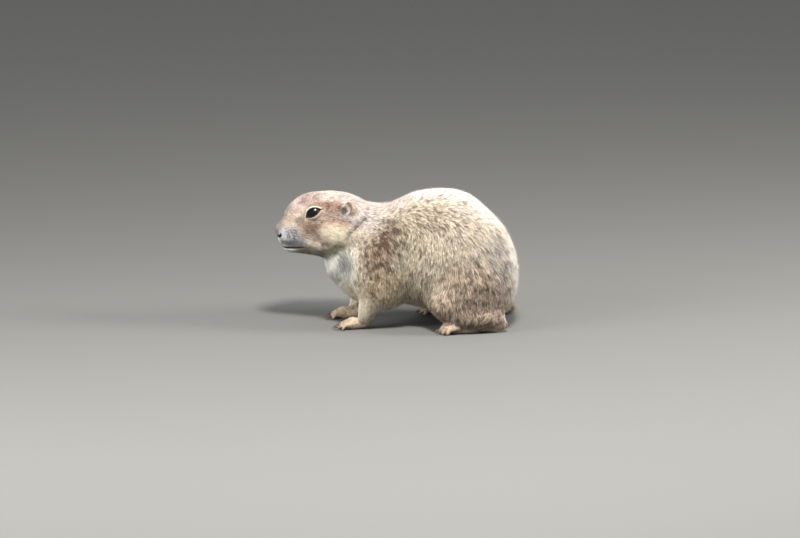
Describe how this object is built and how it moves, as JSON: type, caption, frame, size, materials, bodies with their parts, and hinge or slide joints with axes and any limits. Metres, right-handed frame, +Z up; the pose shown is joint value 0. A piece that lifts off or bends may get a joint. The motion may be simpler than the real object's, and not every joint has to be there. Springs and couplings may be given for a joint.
{
  "type": "prairie dog",
  "caption": "Black-tailed prairie dog crouching on all fours, head level, body hunched, tail curled low round its side; life-size still model.",
  "frame": {"origin": "on the floor, under the middle of the box that holds the whole animal", "axes": "+Z up; the animal faces -X, its left side is at -Y and its right side, where the tail lies, at +Y"},
  "size_m": [0.2058, 0.1392, 0.1164],
  "materials": {
    "coat_head": "short dense fur, pinkish tan with a cream cheek",
    "coat_body": "short coarse fur, sandy buff ticked with black and pale tips",
    "coat_leg": "short fur, pinkish buff",
    "paw": "very short pale fur with dark horn claws",
    "coat_tail": "cinnamon fur, a little longer than the body's",
    "coat_tail_tip": "black bushy fur",
    "ear_skin": "thin skin under very short fur",
    "eye": "wet, nearly black brown",
    "nose": "dark bare skin, slightly damp"
  },
  "bodies": {
    "root": {"head": "coat_head", "neck": "coat_body", "torso": "coat_body", "ear_left": "ear_skin", "ear_right": "ear_skin", "eye_left": "eye", "eye_right": "eye", "nose": "nose", "foreleg_left": "coat_leg", "foreleg_right": "coat_leg", "forepaw_left": "paw", "forepaw_right": "paw", "hindleg_left": "coat_leg", "hindleg_right": "coat_leg", "hindfoot_left": "paw", "hindfoot_right": "paw", "tail": "coat_tail", "tail_tip": "coat_tail_tip"}
  },
  "joints": []
}
